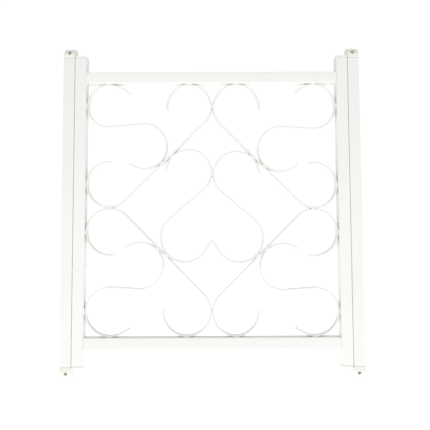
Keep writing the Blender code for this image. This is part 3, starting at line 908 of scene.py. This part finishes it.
def weld_bars_to_bars():
    """One weld object for every place where two bars pass within reach."""
    names = sorted(PATHS)
    number = 0
    for i, a in enumerate(names):
        for b in names[i + 1:]:
            path_a, path_b = PATHS[a], PATHS[b]
            for group in near_stretches(path_a, path_b):
                number += 1
                d, m, k = min(group)
                (x1, z1), (x2, z2) = path_a[m], path_b[k]
                tx, tz = tangents(path_a)[m]
                x, z = (x1 + x2) / 2.0, (z1 + z2) / 2.0
                length = 11.0 * MM
                if m > len(path_a) - 5 and k > len(path_b) - 7:
                    # two ends that meet: a short upright tack just below their tips
                    tx, tz = 0.0, 1.0
                    z -= 2.2 * MM
                    length = 4.0 * MM
                gap = min(max(d - BAR_T, GAP), 2.0 * MM)
                weld_object("weld_%02d_%s_to_%s" % (number, a.replace("_scroll", ""),
                                                    b.replace("_scroll", "")),
                            contact_runs(x, FRAME_Z + z, tx, tz, length, gap))


def weld_rails_to_stiles():
    """A run down the back of each butt and one across the top or bottom of it."""
    runs = []
    for end, sz, _, sx in QUARTERS:
        x = sx * HALF_W
        z = TOP_HI.z if sz > 0 else BOT_LO.z
        runs.append(Run((x, Y_TUBE_BACK - 0.35 * MM, RAIL_Z[end]),
                        (0, 0, 1), (0, 1, 0), 21 * MM, 1.7 * MM))
        runs.append(Run((x - sx * 0.4 * MM, Y_TUBE + 2.5 * MM, z + sz * 0.1 * MM),
                        (0, 1, 0), (0, 0, sz), 15 * MM, 1.3 * MM))
    weld_object("welds_rails_to_stiles", runs, slot="frame_coat")


weld_bars_to_tube("left_stile", 0, -1.0, HALF_W)
weld_bars_to_tube("right_stile", 0, 1.0, HALF_W)
weld_bars_to_tube("top_rail", 1, 1.0, HALF_H)
weld_bars_to_tube("bottom_rail", 1, -1.0, HALF_H)
weld_bars_to_bars()
weld_rails_to_stiles()

# ---------------------------------------------------------------- the studio
scene = bpy.context.scene
scene.view_settings.view_transform = "Standard"
scene.view_settings.look = "None"
scene.view_settings.exposure = 0.0
scene.view_settings.gamma = 1.0


def build_world():
    """A soft light tent, and a paper backdrop that only the camera sees."""
    world = bpy.data.worlds.new("studio")
    scene.world = world
    world.use_nodes = True
    g = Graph(world.node_tree)
    g.tree.nodes.clear()

    # the tent is brightest from below, in front and the sides
    level_mid, per_up, per_back, side_loss = 0.77, -0.12, -0.12, -0.06
    direction = g.add("ShaderNodeSeparateXYZ")
    g.feed(direction.inputs[0], g.add("ShaderNodeTexCoord").outputs["Generated"])
    x, y, z = (direction.outputs[axis] for axis in "XYZ")
    level = g.math("ADD", level_mid, g.math("MULTIPLY", z, per_up))
    level = g.math("ADD", level, g.math("MULTIPLY", y, per_back))
    level = g.math("SUBTRACT", level, g.math("MULTIPLY", g.math("ABSOLUTE", x, 0.0), side_loss))
    tent = g.add("ShaderNodeBackground")
    g.feed(tent.inputs["Color"], (1.0, 0.995, 0.985))
    g.feed(tent.inputs["Strength"], level)

    # white behind the object from the front, pale grey from elsewhere, so that
    # a white object still reads from its sides, its back and above
    paper = g.add("ShaderNodeBackground")
    g.feed(paper.inputs["Color"], (1.0, 1.0, 1.0))
    g.feed(paper.inputs["Strength"],
           g.span(y, source=(0.56, 0.83), target=(0.72, 1.02), curve="SMOOTHSTEP"))
    pick = g.add("ShaderNodeMixShader")
    g.feed(pick.inputs[0], g.add("ShaderNodeLightPath").outputs["Is Camera Ray"])
    g.feed(pick.inputs[1], tent.outputs[0])
    g.feed(pick.inputs[2], paper.outputs[0])
    g.feed(g.add("ShaderNodeOutputWorld").inputs["Surface"], pick.outputs[0])


def build_floor():
    """Plain pale floor that glows; to the camera the glow fades away from the front view."""
    bm = bmesh.new()
    bmesh.ops.create_grid(bm, x_segments=1, y_segments=1, size=6.0)
    floor = add_object("floor", mesh_from(bm, "floor", recalc=False))
    floor.location = (0.0, 0.0, -0.0005)
    m = Material("floor_look")
    m.surface("Base Color", (0.16, 0.16, 0.16))
    m.surface("Roughness", 0.9)
    m.surface("Specular IOR Level", 0.1)
    m.surface("Emission Color", (1.0, 0.998, 0.992))
    seen = m.add("ShaderNodeLightPath").outputs["Is Camera Ray"]
    view = m.add("ShaderNodeSeparateXYZ")
    m.feed(view.inputs[0], m.add("ShaderNodeNewGeometry").outputs["Incoming"])
    shown = m.span(view.outputs["Y"], source=(-0.56, -0.83), target=(0.60, 1.08),
                   curve="SMOOTHSTEP")
    glow = 1.20              # emission towards the object
    loss = m.math("SUBTRACT", glow, shown)
    m.surface("Emission Strength", m.math("SUBTRACT", glow, m.math("MULTIPLY", seen, loss)))
    floor.data.materials.append(m.mat)


def build_softbox():
    """Low wide softbox in front."""
    light = bpy.data.lights.new("low_softbox", "AREA")
    light.shape = "RECTANGLE"
    light.size, light.size_y = 1.8, 0.7
    light.energy = 0.6
    light.color = (1.0, 0.995, 0.98)
    lamp = bpy.data.objects.new("low_softbox", light)
    scene.collection.objects.link(lamp)
    lamp.location = (0.0, -1.05, 0.06)
    target = Vector((0.0, 0.0, 0.30))
    lamp.rotation_euler = (target - lamp.location).to_track_quat("-Z", "Y").to_euler()
    lamp.visible_camera = False


def build_camera():
    """Camera in front, a little below the middle of the frame and tipped up."""
    cam = bpy.data.cameras.new("camera")
    cam.sensor_fit = "HORIZONTAL"
    cam.sensor_width = 36.0
    cam.lens = 42.341023
    camera = bpy.data.objects.new("camera", cam)
    scene.collection.objects.link(camera)
    pitch, yaw, roll = 0.06532, -0.00111, 0.00425
    right, distance, below = 0.00562, 1.10771, 0.08757    # from the stiles' front face
    turn = (Matrix.Rotation(yaw, 4, "Z") @ Matrix.Rotation(pitch, 4, "X")
            @ Matrix.Rotation(roll, 4, "Y"))
    place = Matrix.Translation((right, -distance + STILE_LO.y, FRAME_Z - below))
    camera.matrix_world = place @ turn @ Matrix.Rotation(math.pi / 2.0, 4, "X")
    scene.camera = camera


build_world()
build_floor()
build_softbox()
build_camera()
